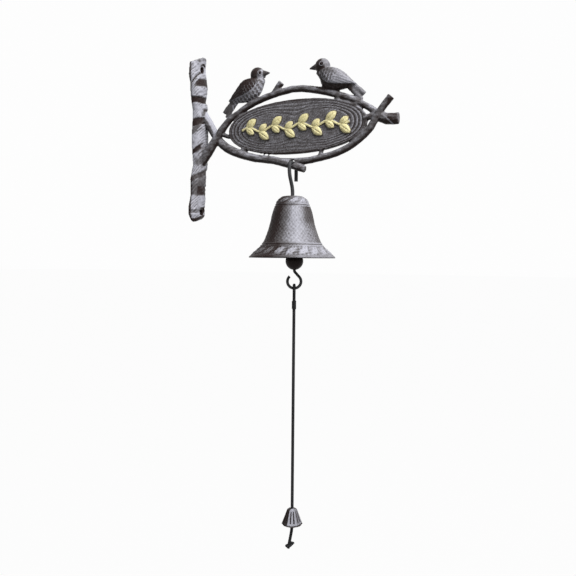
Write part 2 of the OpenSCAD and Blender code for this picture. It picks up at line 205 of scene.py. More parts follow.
def step(edge0, edge1, value):
    """Smooth rise from 0 to 1 between two edges."""
    t = np.clip((value - edge0) / (edge1 - edge0), 0, 1)
    return t * t * (3 - 2 * t)


def ridge(value, middle, width):
    """A rounded ridge: 1 in its middle, falling off over a width."""
    return np.exp(-(((value - middle) / width) ** 2))


def span(value, rise0, rise1, fall0, fall1):
    """Smooth rise from 0 to 1 between two edges, and fall back to 0 between two more."""
    return step(rise0, rise1, value) * (1 - step(fall0, fall1, value))


def painted(piece, material):
    """Give a piece one material."""
    piece.data.materials.clear()
    piece.data.materials.append(material)


def finish_piece(piece, material, body, replaced=()):
    """Give a piece its finish, its body and the nodes that it stands for."""
    painted(piece, material)
    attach(piece, body)
    if replaced:
        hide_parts(*replaced)
    return piece


# Materials


class Term:
    """A node's output that plain arithmetic works on."""

    def __init__(self, tree, socket):
        self.tree = tree
        self.socket = socket

    def _with(self, operation, first, second):
        node = self.tree.nodes.new("ShaderNodeMath")
        node.operation = operation
        for slot, value in zip(node.inputs, (first, second)):
            feed(self.tree, slot, value)
        return Term(self.tree, node.outputs[0])

    def __add__(self, other):
        return self._with("ADD", self, other)

    def __radd__(self, other):
        return self._with("ADD", other, self)

    def __sub__(self, other):
        return self._with("SUBTRACT", self, other)

    def __rsub__(self, other):
        return self._with("SUBTRACT", other, self)

    def __mul__(self, other):
        return self._with("MULTIPLY", self, other)

    def __rmul__(self, other):
        return self._with("MULTIPLY", other, self)


def feed(tree, socket, value):
    """Link a term to a socket, or set the socket's own value."""
    if isinstance(value, Term):
        tree.links.new(value.socket, socket)
    else:
        socket.default_value = value


class Finish:
    """A material in the making: its shader, and the nodes behind it."""

    def __init__(self, name, **plain):
        self.material = bpy.data.materials.new(name)
        self.material.use_nodes = True
        self.tree = self.material.node_tree
        self.shader = self.tree.nodes["Principled BSDF"]
        for socket, value in plain.items():
            self.shader.inputs[socket.replace("_", " ")].default_value = value

    def node(self, kind, settings=None, values=None, output=0):
        """Add a node, set it up, and return one of its outputs."""
        node = self.tree.nodes.new("ShaderNode" + kind)
        for name, value in (settings or {}).items():
            if name == "stops":
                self._stops(node, value)
            else:
                setattr(node, name, value)
        for name, value in (values or {}).items():
            feed(self.tree, node.inputs[name], value)
        return Term(self.tree, node.outputs[output])

    @staticmethod
    def _stops(node, stops):
        elements = node.color_ramp.elements
        while len(elements) < len(stops):
            elements.new(1.0)
        for element, (place, colour) in zip(elements, stops):
            element.position = place
            element.color = colour

    def give(self, socket, term):
        """Send a term to one of the shader's sockets."""
        feed(self.tree, self.shader.inputs[socket], term)

    def skin(self, base, marks, rough, height, strength, distance):
        """The colour, a roughness that follows some marks, and a bump."""
        self.give("Base Color", base)
        self.give("Roughness", self.mapped(marks, 0.3, 0.7, *rough))
        self.give("Normal", self.bump(height, strength, distance))
        return self.material

    def place(self):
        """Object coordinates, in metres."""
        return self.node("TexCoord", output="Object")

    def stored(self, name):
        """A number stored on the piece's points."""
        return self.node("Attribute", {"attribute_name": name}, output="Fac")

    def grain(self, scale, detail=3.0, roughness=0.6):
        """Noise with features of about 1 / scale metres."""
        values = {"Vector": self.place(), "Scale": scale, "Detail": detail, "Roughness": roughness}
        return self.node("TexNoise", {"noise_dimensions": "3D"}, values)

    def mapped(self, value, low, high, to_low=0.0, to_high=1.0):
        """A number's range brought to another range, and held there."""
        values = {"Value": value, "From Min": low, "From Max": high, "To Min": to_low, "To Max": to_high}
        return self.node("MapRange", {"clamp": True}, values)

    def blend(self, share, first, second):
        """One colour turning into another."""
        return self.node("Mix", {"data_type": "RGBA"}, {"Factor": share, 6: first, 7: second}, output=2)

    def bump(self, height, strength, distance, under=None):
        """A bump from a height, over another bump if there is one."""
        values = {"Height": height, "Strength": strength, "Distance": distance}
        if under is not None:
            values["Normal"] = under
        return self.node("Bump", None, values)


def tint(red, green, blue):
    """A colour with full alpha."""
    return (red, green, blue, 1.0)


def cast_iron(name, look, lift=0.0, grain_scale=900.0, bump=0.35):
    """Cast skin, brown-black in its hollows and bluish pewter where the tone on its points is high; the tone also
    carries painted light and shade.
    """
    finish = Finish(name, Specular_IOR_Level=look.iron_shine)
    patches = finish.grain(110.0, 4.0)
    fine = finish.grain(grain_scale, 4.0, 0.65)
    tone = finish.stored("tone") + (patches - 0.5) * 0.35 + (fine - 0.5) * 0.65 + lift
    deep, middle, high = tint(*look.iron_deep), tint(*look.iron_mid), tint(*look.iron_high)
    stops = ((0.0, deep), (0.14, deep), (0.5, middle), (1.0, high))
    finish.give("Base Color", finish.node("ValToRGB", {"stops": stops}, {"Fac": tone}))
    finish.give("Roughness", finish.mapped(fine, 0.3, 0.7, look.iron_rough - 0.07, look.iron_rough + 0.1))
    pits = finish.grain(grain_scale * 0.4, 5.0, 0.7)
    lumps = finish.bump(pits, bump, 0.0006)
    finish.give("Normal", finish.bump(fine, bump * 0.6, 0.0003, lumps))
    return finish.material


def black_wire(look):
    """Drawn steel wire under thin black lacquer."""
    finish = Finish("black_wire", Specular_IOR_Level=0.14)
    marks = finish.grain(1400.0, 3.0)
    base = finish.blend(marks, tint(*look.wire_dark), tint(*look.wire_light))
    return finish.skin(base, marks, (0.28, 0.46), marks, 0.12, 0.2 * MM)


def cream_paint(look):
    """Old hand paint: cream gold on the crests; at its edges it turns to dark iron, a painted shadow round the
    raised sprig.
    """
    finish = Finish("cream_paint", Specular_IOR_Level=0.3)
    streaks = finish.grain(600.0, 4.0, 0.7)
    # cover: the paint where the sprig stands high, dark iron at its foot as painted shadow.
    cover = finish.mapped(finish.stored("tone") + streaks * 0.5, 0.35, 0.85)
    body = finish.blend(finish.mapped(streaks, 0.35, 0.65), tint(*look.paint_deep), tint(*look.paint_light))
    base = finish.blend(cover, tint(*look.iron_deep), body)
    return finish.skin(base, streaks, (0.42, 0.62), streaks, 0.3, 0.3 * MM)


def waxed_cord(look):
    """Black twisted cord: fine slanted strands and a little fuzz."""
    finish = Finish("waxed_cord", Specular_IOR_Level=0.08)
    values = {"Vector": finish.place(), "Scale": 260.0, "Distortion": 1.5, "Detail": 1.0, "Detail Scale": 2.0}
    strands = finish.node("TexWave", {"wave_type": "BANDS", "bands_direction": "DIAGONAL"}, values)
    fuzz = finish.grain(2500.0, 3.0)
    base = finish.blend(strands * 0.6 + fuzz * 0.4, tint(*look.cord_deep), tint(*look.cord_high))
    return finish.skin(base, fuzz, (0.5, 0.7), strands + fuzz * 0.3, 0.5, 0.3 * MM)


# Casting


# Marks on the log as seen from the front: height, half height, tilt, left and right end, darkness (painted shade
# of the bark's downward bands and of the log's right side; below zero a painted highlight line), relief
BARK_MARKS = (
    (64.0, 1.1, 1.37, -4.5, 4.6, 0.95, -0.6), (60.3, 4.4, 0.3, -0.5, 15.0, 0.85, -0.5),
    (42.2, 3.3, 0.12, -9.0, 10.5, 1.0, -1.2), (30.6, 4.2, 0.3, 7.5, 16.0, 0.85, -0.6),
    (19.8, 4.1, 0.25, -9.0, 9.5, 1.0, -1.2), (12.2, 4.2, 0.6, -5.0, 6.0, 0.55, -0.3),
    (-9.2, 2.8, 0.65, -9.0, 6.0, 0.95, -0.9), (-21.3, 5.0, 0.6, -1.0, 8.0, 0.45, -0.2),
    (-35.0, 3.2, 0.6, -8.0, 14.0, 0.75, -0.6), (-43.5, 5.5, 0.2, 2.0, 15.0, 0.6, -0.2),
    (-51.2, 5.6, 0.2, 0.5, 15.0, 0.92, -0.7), (-50.4, 6.3, 0.3, -7.0, 3.5, 0.62, -0.3),
    (-73.8, 2.0, 0.1, -9.0, 3.0, 0.5, -0.8),
    (-15.0, 11.0, 0.9, 3.5, 15.0, 0.42, -0.2), (-39.0, 8.0, 0.6, -9.0, 15.0, 0.42, -0.2),
    (-71.8, 4.2, 0.3, 4.0, 12.0, 0.9, -0.3), (61.9, 0.9, 1.37, -2.6, 5.6, -1.0, 0.6),
    (13.2, 0.9, 1.0, 1.2, 7.2, -1.0, 0.5), (-75.0, 1.4, 0.0, 5.8, 8.6, -1.0, 0.4),
)
SCREW_REACH = 74.0
# Middle and half sizes of the slice, how square its oval is, and its rings by their distance from the rim
SLICE_X, SLICE_Z = 113.0, 6.5
SLICE_LONG, SLICE_TALL, SLICE_SQUARE = 73.5, 26.25, 2.15
GROWTH_RINGS = (3.4, 7.2, 11.2, 15.6)
# Birds: place of the belly's foot, way they face, turn about Y; tones of wing, breast, face, nape and tail,
# painted light and shade that differ between the two birds; how full the chest is; the eye forward and out; where
# the face begins
BIRDS = (
    (62.6, 36.0, 1, 0.0, (0.06, 1.3, 0.8, 0.12, 0.42), 0.81, (13.9, 5.4), 11.0),
    (152.85, 37.2, -1, math.radians(-6.0), (0.64, 0.12, 0.08, 0.62, 0.6), 0.66, (7.4, 7.2), 5.0),
)
# Top of the arch under a bird, in the bird's own frame: places and heights
ARCH_PLACES = (-33.0, -26.0, -16.5, -7.0, 0.0, 10.0, 24.0)
ARCH_TOPS = (-21.0, -14.0, -7.8, -3.0, -0.2, 2.2, 10.0)
WING_LINE = ((10.0, 18.5), (-23.0, 1.4))
WING_SHARES = (0.0, 0.12, 0.3, 0.5, 0.7, 0.88, 1.0)
WING_HALF = (2.0, 5.4, 7.2, 6.2, 4.0, 1.8, 0.5)


def bark(points, normals):
    """Relief and tone of the log's bark; the tone carries painted shade and painted highlights."""
    x, y, z = points.T
    across = 0.906 * x + 0.423 * y
    wobble = 0.8 * noise_at(points, 5.0, 3)
    dark = np.zeros(len(points))
    light = np.zeros(len(points))
    relief = np.zeros(len(points))
    for level, half, tilt, left, right, shade, rise in BARK_MARKS:
        middle = (max(left, -5.0) + min(right, 14.0)) / 2
        away = np.abs(z - level - tilt * (across - middle) + wobble * min(1.0, half / 3)) / half
        place = across + 2.6 * wobble
        soft = 1.2 + 0.25 * half
        share = (1 - step(0.7, 1.15, away)) * span(place, left - soft, left + soft, right - soft, right + soft)
        # dark gathers the marks' painted shade, light their painted highlights.
        dark = np.maximum(dark, share * shade)
        light = np.maximum(light, -share * shade)
        relief += rise * share
    hatch = np.sin((z - 0.9 * across) * 1.5 + 2.2 * noise_at(points, 8.0, 5))
    flakes = step(-0.1, 0.5, noise_at(points, 11.0, 6))
    relief += 0.25 * hatch * flakes + 0.3 * noise_at(points, 3.6, 4)
    strokes = step(0.35, 0.85, np.sin((z - 1.15 * across) * 2.1 + 3.0 * noise_at(points, 9.0, 16)))
    # Dark strokes come up more on the log's right middle: painted shade.
    shaded = step(0, 8, across) * step(-60, -30, z) * step(20, 0, z)
    strokes *= step(-0.25, 0.3, noise_at(points, 7.0, 17) + 0.25 * shaded)
    tone = 0.97 + 0.16 * hatch * flakes + 0.2 * noise_at(points, 2.6, 7)
    tone = (tone * (1 - dark) + 0.03 * dark) * (1 - 0.5 * strokes * (1 - dark))
    tone += 0.22 * dark * step(0.3, 0.8, hatch) * flakes
    # Painted shade: the log's left edge dark and its right side darker.
    tone = tone * (0.15 + 0.85 * step(-5.6, -3.4, across)) * (1 - 0.55 * step(13.0, 15.5, across))
    tone = np.maximum(tone, light)
    above = z - np.interp(across, (-6.4, 0.9, 3.2, 9.9), (79.9, 80.2, 79.0, 84.0))
    cap = np.maximum(step(0.0, 1.0, above), step(0.35, 0.8, normals[:, 2]))
    tone = tone * (1 - cap) + cap * (0.62 + 0.35 * noise_at(points, 3.0, 8))
    tone = np.maximum(tone, 1.05 * ridge(above, 0, 0.8))
    # Painted shade: dark under the log's foot and inside the screw holes.
    foot = np.interp(across, (-6.4, 0.6, 4.3, 7.8), (-81.5, -80.2, -78.2, -75.8))
    holes = np.minimum(np.hypot(y, z - SCREW_REACH), np.hypot(y, z + SCREW_REACH))
    tone = tone * (0.06 + 0.94 * step(-0.8, 0.4, z - foot)) * (0.05 + 0.95 * step(3.0, 3.8, holes))
    # Downward-facing points are darkened: painted shade.
    return relief, tone * (1 - 0.9 * step(0.3, 0.6, -normals[:, 2]))


def wood(points):
    """Relief and tone of the slice's rings and grain."""
    x, y, z = points.T
    dx, dz = np.abs(x - SLICE_X), np.abs(z - SLICE_Z)
    rho = ((dx / SLICE_LONG) ** SLICE_SQUARE + (dz / SLICE_TALL) ** SLICE_SQUARE) ** (1 / SLICE_SQUARE) + 1e-6
    inset = (1 - rho) * np.hypot(dx, dz) / rho + 0.7 * noise_at(points, 14.0, 8)
    ends = 0.45 + 0.55 * step(15, 45, dx)
    rings = sum(ridge(inset, place, 0.65) for place in GROWTH_RINGS) * ends
    crests = sum(ridge(inset - place, 1.2, 0.6) for place in GROWTH_RINGS) * ends
    grain = noise_at(points * np.array([0.22, 1.0, 1.6]), 1.3, 9)
    relief = 0.09 * grain - 0.5 * rings + 0.15 * crests
    dots = noise_at(points, 0.9, 10)
    tone = 0.5 - 0.38 * rings + 0.34 * crests + 0.12 * grain + 0.3 * dots
    rim = step(0.9, 2.4, inset)
    return relief, np.where(rho < 0.985, tone * (0.25 + 0.75 * rim), 0.05)


def shingles(along, across, pitch, width):
    """Overlapping scales with round tips: their height, from 0 to 1 at each tip."""
    t = along / pitch
    height = np.zeros(len(t))
    for shift in (2, 1, 0, -1):
        row = np.floor(t) + shift
        cell = across / width + 0.5 * np.mod(row, 2)
        cell = cell - np.floor(cell) - 0.5
        tip = row + 0.4 * (1 - (2 * cell) ** 2)
        below = t < tip
        height = np.where(below, np.clip(1 - (tip - t) / 1.6, 0, 1), height)
    return height


def in_bird(points, place):
    """Distance ahead and height of points in one bird's own frame."""
    at_x, at_z, way, turn = place[:4]
    x, z = points[:, 0] - at_x, points[:, 2] - at_z
    return way * (x * math.cos(turn) - z * math.sin(turn)), x * math.sin(turn) + z * math.cos(turn)


def plumage(points, place):
    """Relief, tone with painted light and shade, and mask of one bird."""
    # The bird's tones are painted light and shade as well as colour.
    wing_tone, breast_tone, face_tone, nape_tone, tail_tone = place[4]
    bx, bz = in_bird(points, place)
    side = np.abs(points[:, 1])
    lean = math.radians(24.6)
    along = (bx + 21) * math.cos(lean) + (bz - 1.5) * math.sin(lean)
    above = -(bx + 21) * math.sin(lean) + (bz - 1.5) * math.cos(lean)
    mask = (bx > -33) & (bx < 24) & (bz > np.interp(bx, ARCH_PLACES, ARCH_TOPS))
    (ax, az), (cx, cz) = WING_LINE
    wing_length = math.hypot(cx - ax, cz - az)
    ux, uz = (cx - ax) / wing_length, (cz - az) / wing_length
    run = ((bx - ax) * ux + (bz - az) * uz) / wing_length
    off = -(bx - ax) * uz + (bz - az) * ux
    half = np.interp(run, WING_SHARES, WING_HALF)
    on_wing = (side > 3.2) & (run > -0.03) & (run < 1.03)
    edge = np.abs(off) / np.maximum(half, 0.3)
    wing = on_wing * (1 - step(0.86, 1.08, edge))
    around = np.arctan2(above, side) * 8.0
    breast = shingles(-along, around, 3.7, 3.4)
    cover = shingles(run * wing_length, off, 3.0, 3.2)
    quills = np.abs(np.sin(math.pi * off / 2.3 + 0.3)) ** 6
    rear = step(0.42, 0.52, run)
    on_wing_relief = (1 - rear) * cover * 0.5 - rear * quills * 0.45
    head_far = np.sqrt((bx - 8.9) ** 2 + (bz - 25.2) ** 2 + side**2)
    on_head = 1 - step(7.7, 8.8, head_far)
    beak = step(15.4, 16.4, bx) * step(20, 21, bz)
    tail = step(-17.5, -20.5, bx) * (bz < 3)
    body = (1 - wing) * (1 - on_head) * (1 - beak) * (1 - tail)
    relief = body * (breast * 0.42 - 0.2) + wing * (on_wing_relief + 0.15)
    relief -= 0.45 * ridge(edge, 1.12, 0.14) * on_wing * (1 - on_head)
    relief -= 0.3 * ridge(head_far, 8.4, 0.7) * (1 - beak)
    relief -= tail * 0.3 * np.abs(np.sin(points[:, 1] * 2.2)) ** 4
    line = step(0.7, 0.95, breast)
    # The lowest part of the belly is darkened: painted shade.
    under = step(-12.0, -8.0, above)
    tone = body * (0.1 + breast_tone * (0.3 + 0.7 * line) * (0.2 + 0.8 * under))
    back = step(0.0, 5.0, above) * (1 - wing)
    tone = tone * (1 - back) + back * wing_tone * body
    lines = (1 - rear) * step(0.75, 0.95, cover) + rear * (1 - quills)
    fore = step(-3.0, 2.5, off) * (1 - rear)
    tone += wing * (wing_tone * (0.55 + 0.5 * step(0.1, 0.6, run)) + lines * (0.15 + 0.55 * fore))
    face = step(0.0, 3.0, bx + 0.3 * (26 - bz) - place[7])
    tone += on_head * (1 - beak) * (nape_tone * (1 - face) + face_tone * face)
    outline = ridge(edge, 0.97, 0.1) * on_wing * (1 - on_head)
    tone += 0.6 * outline * step(-3.0, 3.0, off) + beak * 0.3 + tail * tail_tone
    tone += 0.08 * noise_at(points, 2.2, 12)
    return relief, tone, mask


def casting_relief(points, normals):
    """How far each point of the casting moves along its normal, and its tone, which carries painted light and
    shade.
    """
    x, y, z = points.T
    cast = 0.12 * noise_at(points, 5.0, 1) + 0.07 * noise_at(points, 1.9, 2)
    ridges = noise_at(points * np.array([0.45, 1.0, 1.0]), 2.2, 14)
    relief = cast + 0.14 * ridges
    # Painted light and shade: tops lighter, undersides darkened.
    lower = 1 - step(-0.75, -0.2, normals[:, 2])
    tone = (0.48 + 0.3 * ridges + 0.12 * noise_at(points, 6.0, 15) + 0.2 * normals[:, 2]) * (1 - 0.9 * lower)
    # On the stub's end, a darker patch beside a painted highlight line along its crease.
    stub = (x > 200) * (normals[:, 1] < 0.2)
    tone = tone - stub * span(x, 205.5, 207.5, 215.0, 216.0) * step(1, 3, z) * 0.25
    tone = np.maximum(tone, stub * ridge(x + z, 212.2, 0.9) * (x < 213) * (z < 9.5))
    # Painted light on the upward faces of the branches' root by the log.
    lit_root_tops = (x < 27) * (z > 3) * (z < 34) * step(-0.1, 0.5, normals[:, 2])
    tone = tone + lit_root_tops * 0.7
    on_log = (1 - step(9.8, 11.5, x + 0.1 * np.abs(y))) * (np.abs(z) < 92)
    bark_relief, bark_tone = bark(points, normals)
    relief = relief * (1 - on_log) + on_log * (bark_relief + cast)
    tone = tone * (1 - on_log) + on_log * bark_tone
    on_slice = (np.abs(y) < 3.0) & (((x - SLICE_X) / 73.0) ** 2 + ((z - SLICE_Z) / 26.0) ** 2 < 0.995)
    on_slice &= np.abs(normals[:, 1]) > 0.5
    wood_relief, wood_tone = wood(points)
    relief = np.where(on_slice, wood_relief, relief)
    tone = np.where(on_slice, wood_tone, tone)
    for place in BIRDS:
        bird_relief, bird_tone, mask = plumage(points, place)
        relief = np.where(mask, bird_relief + 0.3 * cast, relief)
        tone = np.where(mask, bird_tone, tone)
    return relief, np.clip(tone, 0.02, 1.0)


class WALLBELL_OT_casting(bpy.types.Operator):
    """Cast the log, branches, wood slice and birds as one rough iron piece"""

    bl_idname = "wallbell.casting"
    bl_label = "Casting"

    def execute(self, context):
        look = context.scene.wallbell_look
        piece = copy_of_node("bracket", "casting")
        self.worn_ends(piece)
        modified(piece, "REMESH", mode="VOXEL", voxel_size=look.casting_voxel, adaptivity=0.0)
        modified(piece, "SMOOTH", factor=0.5, iterations=2)
        points = points_of(piece)
        relief, tone = casting_relief(points, normals_of(piece))
        relief[points[:, 0] < 0.25] = 0.0
        points += normals_of(piece) * relief[:, None]
        points[:, 0] = np.maximum(points[:, 0], 0.0)
        put_points(piece, points)
        keep_value(piece, "tone", tone)
        smooth(piece)
        finish_piece(piece, cast_iron("iron_casting", look), "bracket", ["bracket"])
        self.eyes(look)
        return {"FINISHED"}

    @staticmethod
    def worn_ends(piece):
        """Slant the log's lower end, lift the front of its top and draw in the birds' chests."""
        points = points_of(piece)
        x, y, z = points.T
        across = 0.906 * x + 0.423 * y
        foot = np.maximum(0.34 * y + 0.72 * x - 83.8, -92.2 - 2 * across)
        top = step(72, 84, z) * (x < 16)
        lift = 0.3 * np.clip(across - 3, 0, 5) - 0.55 * np.clip(across - 9, 0, 5)
        crown = np.where((x < 16) & (across > 6.5), 85.8 - 0.12 * (across - 6.5) ** 2, 200.0)
        points[:, 2] = np.where((x < 16) & (z < -70), np.maximum(z, foot), np.minimum(z + top * lift, crown))
        points[:, 0] = x * (1 + 0.25 * top)
        for place in BIRDS:
            bx, bz = in_bird(points, place)
            clear = bz - np.interp(bx, ARCH_PLACES, ARCH_TOPS)
            chest = step(0.5, 6.0, clear) * (1 - step(14, 24, bz)) * (bx < 24)
            shift = np.clip(bx - 3, 0, None) * (place[5] - 1) * chest
            points[:, 0] += place[2] * shift * math.cos(place[3])
            points[:, 2] -= place[2] * shift * math.sin(place[3])
        put_points(piece, points)

    @staticmethod
    def eyes(look):
        """A ring and a bead for each bird's eye, on both sides of its head."""
        parts = []
        for at_x, at_z, way, turn, _tones, _chest, (head_x, out), _face in BIRDS:
            head_z = 25.4
            x = way * head_x * math.cos(turn) + head_z * math.sin(turn)
            z = -way * head_x * math.sin(turn) + head_z * math.cos(turn)
            for side in (-1, 1):
                place = Vector((at_x + x, side * out, at_z + z)) * MM
                facing = Vector((way * (head_x - 8.9), side * out, 0.3)).to_track_quat("Z", "Y").to_euler()
                bpy.ops.mesh.primitive_torus_add(
                    location=place, rotation=facing, major_radius=1.95 * MM, minor_radius=0.42 * MM,
                    major_segments=28, minor_segments=10,
                )
                ring = named("eye_ring")
                keep_value(ring, "tone", np.full(len(ring.data.vertices), 0.66))
                bpy.ops.mesh.primitive_uv_sphere_add(location=place, radius=1.25 * MM, segments=20, ring_count=12)
                bead = named("eye_bead")
                keep_value(bead, "tone", np.zeros(len(bead.data.vertices)))
                parts += [ring, bead]
        piece = settle(joined(parts, "bird_eyes"))
        smooth(piece)
        return finish_piece(piece, cast_iron("iron_eyes", look), "bracket")


# Sprig


SPRIG_BENDS = 8
LEAF_TURN = math.radians(36.0)
SMALL_LEAF = 0.8
LEAF_RISE = 1.7


def sprig_wave(size, along):
    """Height of the sprig's stem above the slice's middle."""
    pitch = size.sprig_length / SPRIG_BENDS
    return 0.13 * size.sprig_height * math.sin(math.pi * along / pitch)


class WALLBELL_OT_sprig(bpy.types.Operator):
    """Paint a raised sprig on both faces of the wood slice"""

    bl_idname = "wallbell.sprig"
    bl_label = "Painted sprig"

    def execute(self, context):
        look = context.scene.wallbell_look
        size = context.scene.wallbell_sizes
        paint = cream_paint(look)
        pitch = size.sprig_length / SPRIG_BENDS
        for face, name in ((-1, "sprig_front"), (1, "sprig_back")):
            parts = [self.stem(size, face)]
            for bend in range(SPRIG_BENDS):
                along = (bend + 0.3) * pitch - size.sprig_length / 2
                for side in (-1, 1):
                    outer = side == (1 if bend % 2 == 0 else -1)
                    parts.append(self.leaf(size, face, along, side, 1.0 if outer else SMALL_LEAF))
            piece = joined(parts, name)
            rise = np.abs(points_of(piece)[:, 1]) - size.slice_thickness / MM / 2
            # Points low at the sprig's foot get little tone, so its edges turn to dark iron: painted shadow.
            keep_value(piece, "tone", np.clip((rise - 0.9) / 1.0, 0, 1))
            smooth(piece, 50)
            finish_piece(piece, paint, "bracket")
        return {"FINISHED"}

    @staticmethod
    def stem(size, face):
        """The waving stem as a round rod, half sunk in the slice."""
        parts = 8 * SPRIG_BENDS
        out = face * (size.slice_thickness / 2 + 0.35 * MM)
        route = []
        for k in range(parts + 1):
            along = size.sprig_length * (k / parts - 0.5)
            route.append((size.slice_centre[0] + along, out, size.slice_centre[1] + sprig_wave(size, along)))
        return settle(meshed(rope("stem", route, 2.8 * MM, order=5, along=12, around=5)))

    @staticmethod
    def leaf(size, face, along, side, scale):
        """One leaf: a pointed plate with a crowned middle and a sunk vein."""
        length = 0.72 * size.sprig_height * scale
        width = 0.37 * size.sprig_height * scale
        clear_selection()
        bpy.ops.mesh.primitive_grid_add(x_subdivisions=26, y_subdivisions=14, size=1)
        leaf = named("leaf")
        flat = points_of(leaf) * MM
        share = np.clip(flat[:, 0] + 0.5, 0, 1)
        outline = np.sqrt(np.clip(np.sin(math.pi * share), 0, 1)) * np.sin(math.pi * share) ** 0.35
        crown = np.sqrt(np.clip(1 - (2 * flat[:, 1]) ** 2, 0, 1)) * np.clip(outline, 0, 1)
        vein = ridge(flat[:, 1], 0, 0.07) * span(share, 0.05, 0.2, 0.8, 0.95)
        rise = crown * LEAF_RISE - vein * 0.5
        u, v = share * length, flat[:, 1] * width * outline
        turn = side * LEAF_TURN
        x = size.slice_centre[0] + along + u * math.cos(turn) - v * math.sin(turn)
        z = size.slice_centre[1] + sprig_wave(size, along) + u * math.sin(turn) + v * math.cos(turn)
        y = face * (size.slice_thickness / 2 + rise * MM)
        put_points(leaf, np.stack([x, y, z], 1) / MM)
        modified(leaf, "SOLIDIFY", thickness=0.8 * MM, offset=float(-face))
        return merged(leaf)


# Bell


# Outer side of the bell: shares of the mouth's radius and of the height, from the crown down
BELL_CURVE = (
    (0.235, 0.004), (0.29, 0.03), (0.345, 0.08), (0.4, 0.15), (0.462, 0.27), (0.52, 0.45),
    (0.585, 0.6), (0.66, 0.73), (0.76, 0.83), (0.87, 0.905), (0.97, 0.965),
)
# Painted light and shade round the bell, fixed on the bell: degrees from the front, then the upper body, the
# lower body and the leaf bands
BELL_TONES = (
    (-180, 0.42, 0.42, 0.45), (-125, 0.36, 0.36, 0.38), (-92, 0.12, 0.12, 0.14), (-72, 0.0, 0.0, 0.06),
    (-50, 0.0, 0.0, 0.06), (-41, 0.07, 0.12, 0.08), (-27, 0.36, 0.42, 0.12), (-14, 0.56, 0.64, 0.38),
    (0, 0.84, 0.82, 0.5), (12, 0.9, 0.9, 0.64), (27, 0.7, 0.76, 0.7), (40, 0.44, 0.64, 0.66),
    (58, 0.28, 0.54, 0.68), (90, 0.24, 0.38, 0.55), (130, 0.34, 0.38, 0.44), (180, 0.42, 0.42, 0.45),
)
# Beads and grooves round the bell: depth below the crown, height and half width
BELL_LINES = (
    (8.2, 0.35, 0.45), (9.3, -0.4, 0.4), (10.2, 0.3, 0.4), (46.4, 0.35, 0.45),
    (47.5, -0.4, 0.4), (48.5, 0.35, 0.45),
)


def curved(points, steps):
    """Points along a smooth curve through the given ones."""
    points = np.array(points)
    last = len(points) - 1
    rows = []
    for i in range(last):
        a, b, c, d = (points[min(max(i + k, 0), last)] for k in (-1, 0, 1, 2))
        for t in np.arange(steps) / steps:
            near = (2 * a - 5 * b + 4 * c - d) * t**2 + (3 * b - 3 * c + d - a) * t**3
            rows.append((2 * b + (c - a) * t + near) / 2)
    return np.array(rows + [points[last]])


def leaf_band(angle, depth, level, count, length, lean):
    """Relief of a row of leaning leaves round the bell."""
    turn = angle * count / (2 * math.pi)
    cell = turn - np.floor(turn) - 0.5
    up = (depth - level) / length * 2
    across = cell * 2 + lean * up * 0.5
    body = np.clip(1 - across**2 / 0.42 - up**2, 0, 1)
    veins = np.abs(np.sin(up * 5 + np.abs(across) * 5)) ** 4
    middle = ridge(across, 0, 0.12)
    return 0.85 * body**0.5 - (0.3 * veins + 0.45 * middle) * step(0, 0.25, body)


def bell_relief(angle, depth, points):
    """Cast relief of the bell at an angle and a depth below its crown, and its tone, with painted light and shade
    round it.
    """
    lines = sum(tall * ridge(depth, level, wide) for level, tall, wide in BELL_LINES)
    leaves = leaf_band(angle, depth, 53.6, 19, 8.5, 1.1) + leaf_band(angle, depth, 4.6, 9, 6.0, 1.3)
    curls = 0.35 * np.sin(angle * 38 + depth * 1.4) * np.sin(angle * 23 - depth * 1.1)
    bands = span(depth, 48.6, 49.6, 57.6, 58.6) + span(depth, 1.0, 1.8, 7.0, 7.8)
    plain = span(depth, 10.6, 11.2, 45.4, 46.0)
    jitter = 1.6 * noise_at(points, 5.0, 21)
    pock = np.cos(angle * 40 + jitter) * np.cos(2 * math.pi * depth / 4.4 - jitter) + noise_at(points, 1.6, 25)
    relief = lines + bands * (leaves * 0.9 + curls * 0.5) + plain * 0.09 * pock
    relief += 0.14 * noise_at(points, 1.5, 22) + 0.1 * noise_at(points, 5.0, 23)
    # Degrees from the bell's front, where the painted light and shade are set.
    turned = np.mod(np.degrees(angle) + 65.0 + 180.0, 360.0) - 180.0
    table = np.array(BELL_TONES).T
    upper, lower, band = (np.interp(turned, table[0], row) for row in table[1:])
    low = step(20.0, 34.0, depth)
    tone = plain * (upper * (1 - low) + lower * low + 0.1 * pock) + (1 - plain) * band
    # Relief crests are lighter by a share that changes round the bell: painted light.
    relief_light_by_side = np.interp(turned, (-60, -20, 20, 45), (0.5, 0.55, 0.4, 0.26))
    tone += relief_light_by_side * np.tanh(2.5 * relief) * bands + 0.7 * lines + 0.06 * noise_at(points, 7.0, 24)
    return relief, np.clip(tone, 0.02, 1.0)


